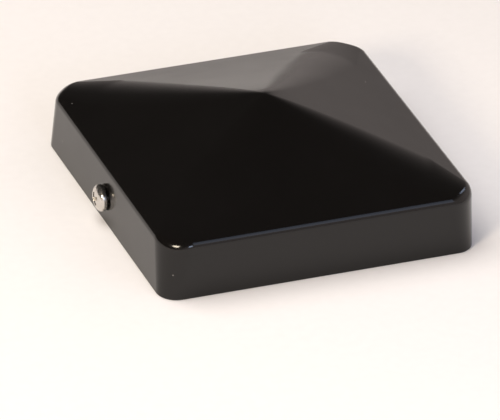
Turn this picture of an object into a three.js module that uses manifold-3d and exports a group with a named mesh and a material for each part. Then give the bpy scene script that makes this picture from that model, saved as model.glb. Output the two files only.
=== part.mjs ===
// A pyramid cap for a square timber fence post: one pressed sheet shell and the two screws that hold it.
// Millimetres, +Z up. The rim lies on Z = 0, the cap is centred on the Z axis and the screws run along X.
import * as THREE from "three";
import { mergeVertices } from "three/addons/utils/BufferGeometryUtils.js";
import Module from "manifold-3d";

const wasm = await Module();
wasm.setup();

// Driving sizes of the shell.
const POST_WIDTH = 90;
const SHEET = 1.5;
const POST_PLAY = 1; // between the post and the sheet, on each side
const EAVE_HEIGHT = 17.7; // where the outer wall and the outer roof would meet in a sharp edge
const APEX_HEIGHT = 33.7; // where the four roof sides would meet in a sharp point
const BEND_RADIUS = 2.5; // outside radius of the bend from the skirt to the roof
const BALL_RADIUS = 3.6; // the same bend in mid-corner
const EAVE_CORNER = 8.7; // outside radius of the upright corners at the eave
const RIM_CORNER = 5.8; // and at the rim
const ROOF_HOLLOW = 0.058; // share by which the roof falls faster at its tip than a straight slope
const TIP_ROUNDING = 2; // how far the rounded tip reaches out
const RIDGE_SPREAD = 0.66; // how fast the four ridges grow rounder away from the tip
const RIDGE_LIMIT = 14.7; // the plan radius that they would end with on a very wide roof
const ROOF_REACHES = [40, 32, 24, 17, 11, 6, 3, 1.2]; // half widths of the roof's level rings

// Driving sizes of the screws, 4.2 x 30 pan heads with a cross recess.
const SCREW_HEIGHT = 7.4;
const SCREW_LENGTH = 30;
const THREAD_RADIUS = 2.1;
const CORE_RADIUS = 1.4;
const NECK_RADIUS = 1.6;
const NECK_LENGTH = 3;
const TIP_LENGTH = 4;
const PITCH = 2.4;
const HEAD_RADIUS = 3.9;
const HEAD_HEIGHT = 2.6;
const HEAD_BAND = 0.8; // height of the head's upright edge
const HEAD_EDGE_BREAK = 0.15;
const RECESS_SPAN = 4.2;
const RECESS_WIDTH = 1;
const RECESS_DEPTH = 1.5;
const RECESS_TAPER = 0.45; // share of the span that is left at the recess's floor
const RECESS_TURN = THREE.MathUtils.degToRad(30);
const SEAT_GAP = 0.5; // between a head and the sheet
const HOLE_RADIUS = 2.5;

// How finely curved stretches are divided.
const CORNER_STEPS = 8;
const BEND_STEPS = 5;
const SCREW_SIDES = 20;
const RINGS_PER_PITCH = 6;
const DOME_STEPS = 5;
const HOLE_SIDES = 32;

// Sizes that follow from the driving sizes.
const CAP_HALF = POST_WIDTH / 2 + POST_PLAY + SHEET;
const ROOF_PITCH = Math.atan2(APEX_HEIGHT - EAVE_HEIGHT, CAP_HALF);
const SEAT_HALF = CAP_HALF + SEAT_GAP;

/** Height of the outer roof at a half width. */
function roofHeight(half) {
  const fall = ((APEX_HEIGHT - EAVE_HEIGHT) / CAP_HALF) * (1 + ROOF_HOLLOW * (1 - half / CAP_HALF));
  return APEX_HEIGHT - fall * Math.hypot(half, TIP_ROUNDING);
}

/** Plan radius of the roof's ridges at a half width. */
function ridgeRadius(half) {
  return RIDGE_LIMIT * (1 - Math.exp((-RIDGE_SPREAD * half) / RIDGE_LIMIT));
}

/** One skin of the shell, `inset` millimetres inside the outer one. */
function skinAt(inset) {
  const roofDrop = inset / Math.cos(ROOF_PITCH);
  return {
    roofDrop,
    eave: roofHeight(CAP_HALF - inset) - roofDrop,
    half: CAP_HALF - inset,
    corner: EAVE_CORNER - inset,
    rimCorner: RIM_CORNER - inset,
    bend: BEND_RADIUS - inset,
  };
}

/** A point `reach` out from a corner's centre, `turn` round that corner and `quarter` turns round the cap. */
function cornerPoint(centre, reach, turn, quarter, height) {
  const point = new THREE.Vector3(centre + reach * Math.cos(turn), centre + reach * Math.sin(turn), height);
  return point.applyAxisAngle(new THREE.Vector3(0, 0, 1), (quarter * Math.PI) / 2);
}

/** Rim, bend and roof points up one line of a skin. The bend's radius swells to a ball in mid-corner. */
function skinLine(skin, turn, quarter) {
  const rim = cornerPoint(skin.half - skin.rimCorner, skin.rimCorner, turn, quarter, 0);
  const roof = ROOF_REACHES.map((half) => {
    const radius = ridgeRadius(half);
    return cornerPoint(half - radius, radius, turn, quarter, roofHeight(half) - skin.roofDrop);
  });

  const centre = skin.half - skin.corner;
  const outwards = cornerPoint(0, 1, turn, quarter, 0);
  const run = cornerPoint(centre, skin.corner, turn, quarter, 0).sub(roof[0]).dot(outwards);
  const slope = Math.atan2(roof[0].z - skin.eave, run);
  const bend = skin.bend + (BALL_RADIUS - BEND_RADIUS) * Math.sin(2 * turn) ** 2;
  const bendHeight = skin.eave - bend * Math.tan((Math.PI / 2 - slope) / 2);
  const bendPoints = Array.from({ length: BEND_STEPS + 1 }, (_, step) => {
    const lean = (Math.PI / 2 - slope) * (step / BEND_STEPS);
    const reach = skin.corner - bend * (1 - Math.cos(lean));
    return cornerPoint(centre, reach, turn, quarter, bendHeight + bend * Math.sin(lean));
  });
  return [rim, ...bendPoints, ...roof];
}

/** The rings of one skin, from the rim up, and its tip. */
function skinRings(skin) {
  const lines = [];
  for (let quarter = 0; quarter < 4; quarter++) {
    for (let step = 0; step <= CORNER_STEPS; step++) {
      lines.push(skinLine(skin, ((step / CORNER_STEPS) * Math.PI) / 2, quarter));
    }
  }
  const rings = lines[0].map((_, level) => lines.map((line) => line[level]));
  return { rings, tip: new THREE.Vector3(0, 0, roofHeight(0) - skin.roofDrop) };
}

/** A closed body through a start point, rings of equal length that turn anticlockwise about +Z, and an end point. */
function closedLoft(start, rings, end) {
  const size = rings[0].length;
  const points = [start, ...rings.flat(), end];
  const index = [];
  for (let side = 0; side < size; side++) {
    const next = (side + 1) % size;
    index.push(0, 1 + next, 1 + side);
    for (let ring = 0; ring + 1 < rings.length; ring++) {
      const lower = 1 + ring * size;
      const upper = lower + size;
      index.push(lower + side, lower + next, upper + next);
      index.push(lower + side, upper + next, upper + side);
    }
    const last = 1 + (rings.length - 1) * size;
    index.push(points.length - 1, last + side, last + next);
  }
  const geometry = new THREE.BufferGeometry().setFromPoints(points);
  geometry.setIndex(index);
  return geometry;
}

/** A closed geometry as a manifold solid. */
function toSolid(geometry) {
  geometry.deleteAttribute("normal");
  geometry.deleteAttribute("uv");
  const merged = mergeVertices(geometry);
  const vertProperties = new Float32Array(merged.attributes.position.array);
  const triVerts = new Uint32Array(merged.index.array);
  return new wasm.Manifold(new wasm.Mesh({ numProp: 3, vertProperties, triVerts }));
}

/** A manifold solid as a geometry. */
function toGeometry(solid) {
  const mesh = solid.getMesh();
  const geometry = new THREE.BufferGeometry();
  geometry.setAttribute("position", new THREE.BufferAttribute(mesh.vertProperties, 3));
  geometry.setIndex(new THREE.BufferAttribute(mesh.triVerts, 1));
  geometry.computeVertexNormals();
  return geometry;
}

/** The pressed shell: inner skin down to the rim, outer skin back up, and a hole through each screwed side. */
function shellGeometry() {
  const inner = skinRings(skinAt(SHEET));
  const outer = skinRings(skinAt(0));
  const shell = toSolid(closedLoft(inner.tip, [...inner.rings.reverse(), ...outer.rings], outer.tip));
  const drill = new THREE.CylinderGeometry(HOLE_RADIUS, HOLE_RADIUS, 3 * CAP_HALF, HOLE_SIDES);
  drill.rotateZ(Math.PI / 2).translate(0, 0, SCREW_HEIGHT);
  return toGeometry(shell.subtract(toSolid(drill)));
}

/** A level ring about the Z axis whose radius may change with the angle. */
function screwRing(height, radiusAt) {
  return Array.from({ length: SCREW_SIDES }, (_, side) => {
    const angle = (side / SCREW_SIDES) * 2 * Math.PI;
    const radius = radiusAt(angle);
    return new THREE.Vector3(radius * Math.cos(angle), radius * Math.sin(angle), height);
  });
}

/** Radius of the threaded shank: a right-hand ridge on a core that narrows to the tip. */
function threadRadius(height, angle) {
  const toTip = Math.min((height + SCREW_LENGTH) / TIP_LENGTH, 1);
  const toNeck = Math.min((-NECK_LENGTH - height) / PITCH, 1);
  const wave = (1 + Math.cos(2 * Math.PI * (height / PITCH) - angle)) / 2;
  return (CORE_RADIUS + (THREAD_RADIUS - CORE_RADIUS) * toNeck * wave ** 3) * toTip;
}

/** The rings of a screw from near its tip up to the neck. */
function shankRings() {
  const rings = [];
  const spacing = PITCH / RINGS_PER_PITCH;
  for (let height = spacing - SCREW_LENGTH; height < -NECK_LENGTH; height += spacing) {
    rings.push(screwRing(height, (angle) => threadRadius(height, angle)));
  }
  rings.push(screwRing(-NECK_LENGTH, () => NECK_RADIUS));
  rings.push(screwRing(0, () => NECK_RADIUS));
  return rings;
}

/** The rings of a pan head from its flat underside up to its domed top. */
function headRings() {
  const rings = [screwRing(0, () => HEAD_RADIUS - HEAD_EDGE_BREAK)];
  rings.push(screwRing(HEAD_EDGE_BREAK, () => HEAD_RADIUS));
  for (let step = 0; step < DOME_STEPS; step++) {
    const lean = ((step / DOME_STEPS) * Math.PI) / 2;
    const height = HEAD_BAND + (HEAD_HEIGHT - HEAD_BAND) * Math.sin(lean);
    rings.push(screwRing(height, () => HEAD_RADIUS * Math.cos(lean)));
  }
  return rings;
}

/** One wing of the cross recess: a slot that spans RECESS_SPAN at the head's top and narrows to its floor. */
function recessWing(turn) {
  const wing = new THREE.BoxGeometry(RECESS_SPAN, RECESS_WIDTH, 2 * RECESS_DEPTH);
  const position = wing.attributes.position;
  for (let corner = 0; corner < position.count; corner++) {
    const share = position.getZ(corner) < 0 ? RECESS_TAPER : 2 - RECESS_TAPER;
    position.setX(corner, position.getX(corner) * share);
  }
  return toSolid(wing.rotateZ(turn).translate(0, 0, HEAD_HEIGHT));
}

/** A screw that stands on the Z axis with the underside of its head at Z = 0. */
function screwGeometry() {
  const tip = new THREE.Vector3(0, 0, -SCREW_LENGTH);
  const crown = new THREE.Vector3(0, 0, HEAD_HEIGHT);
  const body = toSolid(closedLoft(tip, [...shankRings(), ...headRings()], crown));
  const recess = recessWing(RECESS_TURN).add(recessWing(RECESS_TURN + Math.PI / 2));
  return toGeometry(body.subtract(recess));
}

/** The shell's mesh in gloss black powder coat. */
function shellMesh() {
  const material = new THREE.MeshStandardMaterial({ color: 0x141312, roughness: 0.25, metalness: 0 });
  const mesh = new THREE.Mesh(shellGeometry(), material);
  mesh.name = "cap_shell";
  return mesh;
}

/** A stainless screw driven into the side that `sign` points to along X. */
function screwMesh(name, sign) {
  const material = new THREE.MeshStandardMaterial({ color: 0xb9b2a8, roughness: 0.3, metalness: 1 });
  const mesh = new THREE.Mesh(screwGeometry(), material);
  mesh.name = name;
  mesh.rotation.y = (sign * Math.PI) / 2;
  mesh.position.set(sign * SEAT_HALF, 0, SCREW_HEIGHT);
  return mesh;
}

const postCap = new THREE.Group();
postCap.add(shellMesh());
postCap.add(screwMesh("screw_left", -1));
postCap.add(screwMesh("screw_right", 1));

export default postCap;
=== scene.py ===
import math
from math import cos, pi, sin, tan

import bmesh
import bpy
from mathutils import Matrix, Vector


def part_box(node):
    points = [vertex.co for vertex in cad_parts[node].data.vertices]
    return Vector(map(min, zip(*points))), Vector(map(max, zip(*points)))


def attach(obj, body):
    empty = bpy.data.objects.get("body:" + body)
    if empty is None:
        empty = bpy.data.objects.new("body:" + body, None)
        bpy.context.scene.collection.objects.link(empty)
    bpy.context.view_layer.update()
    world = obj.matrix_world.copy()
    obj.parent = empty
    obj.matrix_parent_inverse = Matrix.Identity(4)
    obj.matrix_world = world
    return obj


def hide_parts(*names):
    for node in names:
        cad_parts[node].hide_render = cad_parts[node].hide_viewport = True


# A pyramid cap for a timber fence post and its two screws, standing on its rim in a pale studio.
# Metres, +Z up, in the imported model's frame: the rim lies on Z = 0 and the screws run along X.
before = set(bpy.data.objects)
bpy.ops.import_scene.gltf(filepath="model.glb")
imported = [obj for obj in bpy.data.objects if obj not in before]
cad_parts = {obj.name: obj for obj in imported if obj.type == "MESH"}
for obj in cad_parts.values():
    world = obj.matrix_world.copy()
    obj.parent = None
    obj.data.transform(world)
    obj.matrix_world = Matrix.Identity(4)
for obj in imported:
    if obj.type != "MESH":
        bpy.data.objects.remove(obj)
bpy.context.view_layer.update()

MM = 0.001
scene = bpy.context.scene

# The shell's sizes. Its width and height come from the frame.
shell_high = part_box("cap_shell")[1]
CAP_HALF = shell_high.x
PEAK = shell_high.z
SHEET = 1.5 * MM
RIM_ROUNDING = 0.35 * MM
EAVE_HEIGHT = 0.5366 * PEAK  # where the planes of the roof and the skirt would meet
BEND_RADIUS = 2.5 * MM
BALL_RADIUS = 3.6 * MM  # what the bend's radius swells to in mid-corner
EAVE_CORNER = 8.7 * MM
RIM_CORNER = 5.8 * MM
ROOF_HOLLOW = 0.058
TIP_ROUNDING = 2 * MM
RIDGE_SPREAD = 0.66
RIDGE_LIMIT = 14.7 * MM
ROOF_EDGE = 0.842 * CAP_HALF  # half width of the roof's outermost ring
PEAK_CLEARANCE = 0.05 * MM
TIP_SHARE = (1 + ROOF_HOLLOW) * TIP_ROUNDING / CAP_HALF  # of the roof's rise, lost to its rounded tip
ROOF_RISE = (PEAK - PEAK_CLEARANCE - EAVE_HEIGHT) / (1 - TIP_SHARE)
ROOF_PITCH = math.atan2(ROOF_RISE, CAP_HALF)
RING_CROWDING = 1.4  # how much closer the roof's rings lie towards the tip

# The screws' sizes. Their height above the rim, length and head radius come from the frame.
screw_low, screw_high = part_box("screw_right")
SCREW_HEIGHT = (screw_low.z + screw_high.z) / 2
HEAD_RADIUS = (screw_high.y - screw_low.y) / 2
HEAD_HEIGHT = 2.6 * MM
SCREW_LENGTH = screw_high.x - screw_low.x - HEAD_HEIGHT
SEAT_HALF = screw_high.x - HEAD_HEIGHT
HEAD_BAND = 0.8 * MM
HEAD_EDGE_BREAK = 0.15 * MM
THREAD_RADIUS = 2.1 * MM
CORE_RADIUS = 1.4 * MM
NECK_RADIUS = 1.6 * MM
NECK_LENGTH = 3 * MM
TIP_LENGTH = 4 * MM
PITCH = 2.4 * MM
CREST_SHARPNESS = 3
RECESS_SPAN = 4.2 * MM
RECESS_WIDTH = 1 * MM
RECESS_DEPTH = 1.5 * MM
RECESS_TAPER = 0.45
RECESS_TURN = math.radians(30)
HOLE_RADIUS = 2.5 * MM


# Mesh helpers.

def closed_loft(start, rings, end):
    """Points and faces of a closed body through a start point, equal rings and an end point."""
    size = len(rings[0])
    points = [start, *(point for ring in rings for point in ring), end]
    faces = []
    for side in range(size):
        after = (side + 1) % size
        faces.append((0, 1 + after, 1 + side))
        for ring in range(len(rings) - 1):
            lower = 1 + ring * size
            upper = lower + size
            faces.append((lower + side, lower + after, upper + after, upper + side))
        last = 1 + (len(rings) - 1) * size
        faces.append((len(points) - 1, last + side, last + after))
    return points, faces


def add_piece(name, points, faces):
    """A smooth-shaded mesh object in the scene."""
    mesh = bpy.data.meshes.new(name)
    mesh.from_pydata(points, [], faces)
    mesh.shade_smooth()
    piece = bpy.data.objects.new(name, mesh)
    scene.collection.objects.link(piece)
    return piece


def apply_modifiers(piece):
    """Makes a piece's modifiers part of its mesh."""
    depsgraph = bpy.context.evaluated_depsgraph_get()
    mesh = bpy.data.meshes.new_from_object(piece.evaluated_get(depsgraph))
    piece.modifiers.clear()
    piece.data = mesh


def cut(piece, cutter):
    """Cuts a closed cutter out of a piece and removes the cutter."""
    boolean = piece.modifiers.new("cut", "BOOLEAN")
    boolean.operation = "DIFFERENCE"
    boolean.solver = "EXACT"
    boolean.object = cutter
    apply_modifiers(piece)
    bpy.data.objects.remove(cutter)


def cutter_from(name, build):
    """A closed tool for cut(), made by a function that fills a bmesh."""
    tool = bmesh.new()
    build(tool)
    mesh = bpy.data.meshes.new(name)
    tool.to_mesh(mesh)
    tool.free()
    cutter = bpy.data.objects.new(name, mesh)
    scene.collection.objects.link(cutter)
    return cutter


def soften_shading(piece, sharp_angle):
    """Shades curved stretches smoothly, keeps flat faces flat and leaves edges over the angle crisp."""
    piece.data.set_sharp_from_angle(angle=sharp_angle)
    weighted = piece.modifiers.new("weighted normals", "WEIGHTED_NORMAL")
    weighted.mode = "FACE_AREA"
    weighted.weight = 50
    weighted.keep_sharp = True
    apply_modifiers(piece)


# The pressed shell.

CORNER_STEPS = 28
BEND_STEPS = 14
ROOF_STEPS = 30
RIM_STEPS = 4
HOLE_SIDES = 64
SHELL_EDGE_ANGLE = math.radians(50)


def corner_point(centre, reach, turn, quarter, height):
    """A point a given reach from a corner's centre, part of the way round that corner."""
    point = Vector((centre + reach * cos(turn), centre + reach * sin(turn), height))
    return Matrix.Rotation(quarter * pi / 2, 3, "Z") @ point


def rim_points(inset, side, turn, quarter):
    """One skin's half of the rounded rim. Side is 1 for the outer skin and -1 for the inner."""
    points = []
    for step in range(RIM_STEPS + 1):
        lean = step / RIM_STEPS * pi / 2
        pull = side * RIM_ROUNDING * (1 - sin(lean))
        height = RIM_ROUNDING * (1 - cos(lean))
        radius = RIM_CORNER - inset - pull
        centre = CAP_HALF - inset - pull - radius
        points.append(corner_point(centre, radius, turn, quarter, height))
    return points


def roof_height(half):
    """Height of the outer roof at a half width."""
    fall = ROOF_RISE / CAP_HALF * (1 + ROOF_HOLLOW * (1 - half / CAP_HALF))
    return EAVE_HEIGHT + ROOF_RISE - fall * math.hypot(half, TIP_ROUNDING)


def ridge_radius(half):
    """Plan radius of the roof's ridges at a half width."""
    return RIDGE_LIMIT * (1 - math.exp(-RIDGE_SPREAD * half / RIDGE_LIMIT))


def roof_points(drop, turn, quarter):
    """The points of one skin's roof from its edge towards its tip."""
    points = []
    for step in range(ROOF_STEPS):
        half = ROOF_EDGE * (1 - step / ROOF_STEPS) ** RING_CROWDING
        radius = ridge_radius(half)
        points.append(corner_point(half - radius, radius, turn, quarter, roof_height(half) - drop))
    return points


def skin_line(inset, side, turn, quarter):
    """The rim, bend and roof points up one line of a skin."""
    drop = inset / cos(ROOF_PITCH)
    roof = roof_points(drop, turn, quarter)
    eave = roof_height(CAP_HALF - inset) - drop
    corner = EAVE_CORNER - inset
    centre = CAP_HALF - inset - corner
    sharp = corner_point(centre, corner, turn, quarter, eave)
    run = (sharp - roof[0]).dot(corner_point(0, 1, turn, quarter, 0))
    slope = math.atan2(roof[0].z - eave, run)
    bend = BEND_RADIUS - inset + (BALL_RADIUS - BEND_RADIUS) * sin(2 * turn) ** 2
    bend_height = eave - bend * tan((pi / 2 - slope) / 2)
    line = rim_points(inset, side, turn, quarter)
    for step in range(BEND_STEPS + 1):
        lean = (pi / 2 - slope) * step / BEND_STEPS
        reach = corner - bend * (1 - cos(lean))
        line.append(corner_point(centre, reach, turn, quarter, bend_height + bend * sin(lean)))
    return line + roof


def skin_rings(inset, side):
    """The rings of one skin from the rim up, and its tip."""
    turns = [step / CORNER_STEPS * pi / 2 for step in range(CORNER_STEPS + 1)]
    lines = [skin_line(inset, side, turn, quarter) for quarter in range(4) for turn in turns]
    rings = [list(ring) for ring in zip(*lines)]
    return rings, Vector((0, 0, roof_height(0) - inset / cos(ROOF_PITCH)))


def drill(tool):
    """Fills a bmesh with a bar along X that bores both screw holes at once."""
    turn = Matrix.Translation((0, 0, SCREW_HEIGHT)) @ Matrix.Rotation(pi / 2, 4, "Y")
    size = {"radius1": HOLE_RADIUS, "radius2": HOLE_RADIUS, "depth": 3 * CAP_HALF}
    bmesh.ops.create_cone(tool, cap_ends=True, segments=HOLE_SIDES, matrix=turn, **size)


def make_shell(material):
    """The pressed shell with its two screw holes."""
    inner_rings, inner_tip = skin_rings(SHEET, -1)
    outer_rings, outer_tip = skin_rings(0, 1)
    points, faces = closed_loft(inner_tip, inner_rings[::-1] + outer_rings, outer_tip)
    shell = add_piece("shell", points, faces)
    cut(shell, cutter_from("drill", drill))
    soften_shading(shell, SHELL_EDGE_ANGLE)
    shell.data.materials.clear()
    shell.data.materials.append(material)
    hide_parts("cap_shell")
    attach(shell, "cap")


# The screws.

SCREW_SIDES = 64
RINGS_PER_PITCH = 24
DOME_STEPS = 20
SCREW_EDGE_ANGLE = math.radians(40)


def level_ring(height, radius_at):
    """A ring about the Z axis whose radius may change with the angle."""
    angles = [side / SCREW_SIDES * 2 * pi for side in range(SCREW_SIDES)]
    return [Vector((radius_at(a) * cos(a), radius_at(a) * sin(a), height)) for a in angles]


def thread_radius(height, angle):
    """Radius of the threaded shank: a right-hand ridge on a core that narrows to the tip."""
    to_tip = min((height + SCREW_LENGTH) / TIP_LENGTH, 1)
    to_neck = min((-NECK_LENGTH - height) / PITCH, 1)
    wave = (1 + cos(2 * pi * height / PITCH - angle)) / 2
    return (CORE_RADIUS + (THREAD_RADIUS - CORE_RADIUS) * to_neck * wave ** CREST_SHARPNESS) * to_tip


def shank_rings():
    """The rings of a screw from near its tip up to the underside of its head."""
    spacing = PITCH / RINGS_PER_PITCH
    count = int((SCREW_LENGTH - NECK_LENGTH) / spacing)
    heights = [spacing * step - SCREW_LENGTH for step in range(1, count)]
    rings = [level_ring(h, lambda angle, h=h: thread_radius(h, angle)) for h in heights]
    rings.append(level_ring(-NECK_LENGTH, lambda angle: NECK_RADIUS))
    rings.append(level_ring(0, lambda angle: NECK_RADIUS))
    return rings


def head_rings():
    """The rings of a pan head from its flat underside up to its domed top."""
    rings = [level_ring(0, lambda angle: HEAD_RADIUS - HEAD_EDGE_BREAK)]
    rings.append(level_ring(HEAD_EDGE_BREAK, lambda angle: HEAD_RADIUS))
    for step in range(DOME_STEPS):
        lean = step / DOME_STEPS * pi / 2
        height = HEAD_BAND + (HEAD_HEIGHT - HEAD_BAND) * sin(lean)
        rings.append(level_ring(height, lambda angle, lean=lean: HEAD_RADIUS * cos(lean)))
    return rings


def recess_wing(turn):
    """A builder of one wing of the cross recess, which narrows towards its floor."""
    def build(tool):
        bmesh.ops.create_cube(tool, size=1)
        for corner in tool.verts:
            share = RECESS_TAPER if corner.co.z < 0 else 2 - RECESS_TAPER
            corner.co.x *= RECESS_SPAN * share
            corner.co.y *= RECESS_WIDTH
            corner.co.z = corner.co.z * 2 * RECESS_DEPTH + HEAD_HEIGHT
        spin = Matrix.Rotation(turn, 4, "Z")
        bmesh.ops.transform(tool, matrix=spin, verts=tool.verts)
    return build


def make_screw(node, body, sign, material):
    """A screw driven into the side that sign points to along X."""
    tip = Vector((0, 0, -SCREW_LENGTH))
    crown = Vector((0, 0, HEAD_HEIGHT))
    points, faces = closed_loft(tip, shank_rings() + head_rings(), crown)
    screw = add_piece(node + "_fine", points, faces)
    for turn in (RECESS_TURN, RECESS_TURN + pi / 2):
        cut(screw, cutter_from("wing", recess_wing(turn)))
    soften_shading(screw, SCREW_EDGE_ANGLE)
    place = Matrix.Translation((sign * SEAT_HALF, 0, SCREW_HEIGHT))
    screw.data.transform(place @ Matrix.Rotation(sign * pi / 2, 4, "Y"))
    screw.data.materials.clear()
    screw.data.materials.append(material)
    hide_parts(node)
    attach(screw, body)


# Materials.

NOISE_SPAN = (0.3, 0.7)  # the stretch that holds nearly all of a noise's values


def new_material(name):
    """A material with its node tree, its main shader and its coordinates in metres."""
    material = bpy.data.materials.new(name)
    material.use_nodes = True
    tree = material.node_tree
    shader = tree.nodes["Principled BSDF"]
    place = tree.nodes.new("ShaderNodeTexCoord").outputs["Object"]
    return material, tree, shader, place


def add_noise(tree, place, size, detail=2.0, roughness=0.5):
    """Noise whose blotches are about `size` metres across."""
    noise = tree.nodes.new("ShaderNodeTexNoise")
    noise.inputs["Scale"].default_value = 1 / size
    noise.inputs["Detail"].default_value = detail
    noise.inputs["Roughness"].default_value = roughness
    tree.links.new(place, noise.inputs["Vector"])
    return noise.outputs["Fac"]


def add_range(tree, value, low, high, to_low, to_high):
    """The value's stretch from low to high, spread over to_low to to_high."""
    spread = tree.nodes.new("ShaderNodeMapRange")
    tree.links.new(value, spread.inputs["Value"])
    for socket, number in zip(spread.inputs[1:5], (low, high, to_low, to_high)):
        socket.default_value = number
    return spread.outputs["Result"]


def add_mix(tree, share, first, second):
    """A blend of two colours, each given as numbers or as an output."""
    mix = tree.nodes.new("ShaderNodeMix")
    mix.data_type = "RGBA"
    tree.links.new(share, mix.inputs["Factor"])
    for socket, colour in ((mix.inputs[6], first), (mix.inputs[7], second)):
        if isinstance(colour, tuple):
            socket.default_value = (*colour, 1)
        else:
            tree.links.new(colour, socket)
    return mix.outputs[2]


def add_bump(tree, height, depth, below=None):
    """A normal from a height field `depth` metres deep, on top of another bump if one is given."""
    bump = tree.nodes.new("ShaderNodeBump")
    bump.inputs["Strength"].default_value = 1
    bump.inputs["Distance"].default_value = depth
    tree.links.new(height, bump.inputs["Height"])
    if below:
        tree.links.new(below, bump.inputs["Normal"])
    return bump.outputs["Normal"]


COAT_BLACK = (0.0032, 0.0026, 0.0022)
COAT_CLOUDED = (0.0048, 0.0040, 0.0036)
COAT_ROUGHNESS = (0.12, 0.17)
COAT_IOR = 1.435
PEEL_SIZE = 1.6 * MM
PEEL_DEPTH = 0.004 * MM
WAVE_SIZE = 14 * MM
WAVE_DEPTH = 0.05 * MM
CLOUD_SIZE = 22 * MM
DUST = (0.16, 0.15, 0.14)
DUST_SPACING = 9 * MM
DUST_EDGE = (0.02, 0.03)  # where a speck starts and stops fading, in shares of the spacing


def powder_coat():
    """Gloss black powder coat: faint orange peel, cloudy gloss and a few specks of dust."""
    material, tree, shader, place = new_material("black powder coat")
    peel = add_noise(tree, place, PEEL_SIZE, detail=1)
    waves = add_noise(tree, place, WAVE_SIZE, detail=1)
    swell = add_bump(tree, waves, WAVE_DEPTH)
    normal = add_bump(tree, peel, PEEL_DEPTH, swell)
    tree.links.new(normal, shader.inputs["Normal"])

    clouds = add_noise(tree, place, CLOUD_SIZE, detail=4, roughness=0.6)
    gloss = add_range(tree, clouds, *NOISE_SPAN, *COAT_ROUGHNESS)
    tree.links.new(gloss, shader.inputs["Roughness"])

    tint = add_mix(tree, clouds, COAT_BLACK, COAT_CLOUDED)
    dust = tree.nodes.new("ShaderNodeTexVoronoi")
    dust.inputs["Scale"].default_value = 1 / DUST_SPACING
    tree.links.new(place, dust.inputs["Vector"])
    speck = add_range(tree, dust.outputs["Distance"], *DUST_EDGE, 1, 0)
    tree.links.new(add_mix(tree, speck, tint, DUST), shader.inputs["Base Color"])
    shader.inputs["IOR"].default_value = COAT_IOR
    return material


def add_vector(tree, operation, vector, fixed):
    """The sum or the product of a vector output and a fixed vector."""
    node = tree.nodes.new("ShaderNodeVectorMath")
    node.operation = operation
    node.inputs[1].default_value = fixed
    tree.links.new(vector, node.inputs[0])
    return node.outputs["Vector"]


def add_length(tree, vector):
    """The length of a vector output."""
    node = tree.nodes.new("ShaderNodeVectorMath")
    node.operation = "LENGTH"
    tree.links.new(vector, node.inputs[0])
    return node.outputs["Value"]


def add_product(tree, first, second):
    """The product of two number outputs."""
    node = tree.nodes.new("ShaderNodeMath")
    node.operation = "MULTIPLY"
    tree.links.new(first, node.inputs[0])
    tree.links.new(second, node.inputs[1])
    return node.outputs["Value"]


STEEL_DULL = (0.60, 0.565, 0.52)
STEEL_BRIGHT = (0.74, 0.71, 0.67)
# Painted shade: a dark steel colour laid on the recess floor in place of the shade that falls there.
STEEL_RECESS_PAINTED_SHADE = (0.16, 0.15, 0.14)
STEEL_ROUGHNESS = (0.16, 0.32)
SCUFF_SIZE = 1.2 * MM
SCUFF_DEPTH = 0.004 * MM
TURNING_SIZE = 0.12 * MM
TURNING_DEPTH = 0.0025 * MM
SHADE_RISE = 0.7 * RECESS_DEPTH  # how far up from its floor the recess gets painted shade
SHADE_EDGE = 0.2 * MM


def painted_recess_shade(tree, reach, radius):
    """A mask of painted shade: 1 on the recess's floor, which is darkened, and 0 on the rest of the
    screw.

    Reach is the distance from the cap's middle plane, and radius the distance from the screw's axis.
    """
    floor = SEAT_HALF + HEAD_HEIGHT - RECESS_DEPTH
    deep = add_range(tree, reach, floor, floor + SHADE_RISE, 1, 0)
    above_seat = add_range(tree, reach, SEAT_HALF + SHADE_EDGE, SEAT_HALF + 1.5 * SHADE_EDGE, 0, 1)
    central = add_range(tree, radius, RECESS_SPAN / 2, RECESS_SPAN / 2 + SHADE_EDGE, 1, 0)
    return add_product(tree, add_product(tree, deep, above_seat), central)


def stainless(name):
    """Bright stainless steel with fine turning rings about the screw's axis and painted shade darkening
    the recess floor.
    """
    material, tree, shader, place = new_material(name)
    shader.inputs["Metallic"].default_value = 1
    from_axis = add_vector(tree, "ADD", place, (0, 0, -SCREW_HEIGHT))
    radius = add_length(tree, add_vector(tree, "MULTIPLY", from_axis, (0, 1, 1)))
    reach = add_length(tree, add_vector(tree, "MULTIPLY", from_axis, (1, 0, 0)))

    rings = tree.nodes.new("ShaderNodeTexNoise")
    rings.noise_dimensions = "1D"
    rings.inputs["Scale"].default_value = 1 / TURNING_SIZE
    rings.inputs["Detail"].default_value = 2
    tree.links.new(radius, rings.inputs["W"])
    scuffs = add_noise(tree, place, SCUFF_SIZE, detail=5, roughness=0.65)
    worn = add_bump(tree, scuffs, SCUFF_DEPTH)
    normal = add_bump(tree, rings.outputs["Fac"], TURNING_DEPTH, worn)
    tree.links.new(normal, shader.inputs["Normal"])
    gloss = add_range(tree, scuffs, *NOISE_SPAN, *STEEL_ROUGHNESS)
    tree.links.new(gloss, shader.inputs["Roughness"])

    steel = add_mix(tree, scuffs, STEEL_DULL, STEEL_BRIGHT)
    # Painted shade: the recess floor is darkened towards a dark steel colour.
    colour = add_mix(tree, painted_recess_shade(tree, reach, radius), steel, STEEL_RECESS_PAINTED_SHADE)
    tree.links.new(colour, shader.inputs["Base Color"])
    return material


PAPER_SHADED = (0.88, 0.84, 0.81)
PAPER_PALE = (0.92, 0.88, 0.85)
FIBRE_SIZE = 3 * MM


def pale_floor():
    """Matt paper, a shade off white."""
    material, tree, shader, place = new_material("pale floor")
    fibres = add_noise(tree, place, FIBRE_SIZE, detail=3)
    shade = add_mix(tree, fibres, PAPER_SHADED, PAPER_PALE)
    tree.links.new(shade, shader.inputs["Base Color"])
    shader.inputs["Roughness"].default_value = 0.9
    shader.inputs["Specular IOR Level"].default_value = 0.1
    return material


# The studio.

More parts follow.
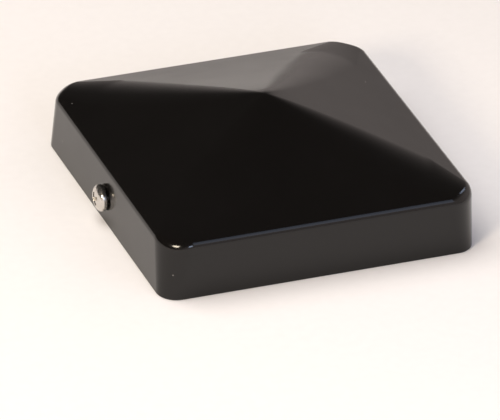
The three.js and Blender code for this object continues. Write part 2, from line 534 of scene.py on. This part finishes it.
def direction(azimuth, elevation):
    """A unit vector towards an azimuth, counted from -Y towards +X, and an elevation, in degrees."""
    a, e = math.radians(azimuth), math.radians(elevation)
    return Vector((sin(a) * cos(e), -cos(a) * cos(e), sin(e)))


CAMERA_AZIMUTH = -22.8
CAMERA_ELEVATION = 30.8
CAMERA_ROLL = math.radians(2.76)
CAMERA_DISTANCE = 51 * CAP_HALF
VIEW_WIDTH = 2.991 * CAP_HALF  # how much of the cap's plane the image spans
AIM_RIGHT = -0.058 * CAP_HALF  # from the middle of the rim's plane to the middle of the image
AIM_UP = -0.0963 * CAP_HALF


def make_camera():
    """A long lens that looks down on the front left corner, rolled a little."""
    data = bpy.data.cameras.new("camera")
    data.lens = data.sensor_width * CAMERA_DISTANCE / VIEW_WIDTH
    data.clip_start = 0.1
    data.clip_end = 50
    camera = bpy.data.objects.new("camera", data)
    scene.collection.objects.link(camera)
    back = direction(CAMERA_AZIMUTH, CAMERA_ELEVATION)
    level = back.to_track_quat("Z", "Y").to_matrix()
    turned = level @ Matrix.Rotation(CAMERA_ROLL, 3, "Z")
    aim = turned @ Vector((AIM_RIGHT, AIM_UP, 0))
    camera.matrix_world = Matrix.Translation(aim + back * CAMERA_DISTANCE) @ turned.to_4x4()
    scene.camera = camera


FLOOR_HALF = 6.0


def make_floor():
    """The pale floor that the rim stands on."""
    floor = bpy.data.objects.new("floor", bpy.data.meshes.new("floor"))
    half = FLOOR_HALF
    corners = [(-half, -half, 0), (half, -half, 0), (half, half, 0), (-half, half, 0)]
    floor.data.from_pydata(corners, [], [(0, 1, 2, 3)])
    floor.data.materials.append(pale_floor())
    scene.collection.objects.link(floor)


WALL = (0.74, 0.648, 0.614)
CEILING = (0.063, 0.059, 0.056)
CEILING_SIDE = (-0.5, 0.273, 1)  # the way from the wall to the ceiling
WALL_END = -0.06  # how far that way the wall starts to fade
CEILING_START = 0.475  # and where the fade ends


def make_world():
    """Pale walls whose bright part ends along a tilted edge, with a dark ceiling above it."""
    world = bpy.data.worlds.new("studio")
    world.use_nodes = True
    tree = world.node_tree
    place = tree.nodes.new("ShaderNodeTexCoord").outputs["Generated"]
    rise = tree.nodes.new("ShaderNodeVectorMath")
    rise.operation = "DOT_PRODUCT"
    rise.inputs[1].default_value = Vector(CEILING_SIDE).normalized()
    tree.links.new(place, rise.inputs[0])
    fade = tree.nodes.new("ShaderNodeMapRange")
    fade.interpolation_type = "SMOOTHSTEP"
    fade.inputs["From Min"].default_value = WALL_END
    fade.inputs["From Max"].default_value = CEILING_START
    tree.links.new(rise.outputs["Value"], fade.inputs["Value"])
    colour = add_mix(tree, fade.outputs["Result"], WALL, CEILING)
    tree.links.new(colour, tree.nodes["Background"].inputs["Color"])
    scene.world = world


def add_light(name, place, size, radiance, colour, in_gloss=True):
    """A square lamp that faces the cap, placed by azimuth, elevation (degrees) and distance (metres)."""
    azimuth, elevation, distance = place
    data = bpy.data.lights.new(name, "AREA")
    data.shape = "SQUARE"
    data.size = size
    data.energy = radiance * pi * size ** 2
    data.color = colour
    lamp = bpy.data.objects.new(name, data)
    back = direction(azimuth, elevation)
    turned = back.to_track_quat("Z", "Y").to_matrix().to_4x4()
    lamp.matrix_world = Matrix.Translation(back * distance) @ turned
    lamp.visible_glossy = in_gloss
    lamp.visible_camera = False
    scene.collection.objects.link(lamp)


PALE = (1.0, 0.97, 0.95)
WARM = (1.0, 0.87, 0.69)
COOL = (0.62, 0.74, 1.0)


def make_lights():
    """A big panel for the floor, a warm lamp beside the camera and three cool windows for the glints."""
    add_light("panel", (-115, 66, 1.5), 1.4, 3.4, PALE, in_gloss=False)
    add_light("lamp", (-54, 28, 1.0), 0.22, 34, WARM)
    add_light("near window", (-3, 22, 0.8), 0.2, 9, COOL)
    add_light("high window", (25, 40, 0.4), 0.2, 1.3, COOL)
    add_light("side window", (117, 35, 0.8), 0.1, 4, COOL)


make_camera()
make_shell(powder_coat())
make_screw("screw_left", "left_screw", -1, stainless("stainless left"))
make_screw("screw_right", "right_screw", 1, stainless("stainless right"))
make_floor()
make_world()
make_lights()

scene.view_settings.view_transform = "Standard"
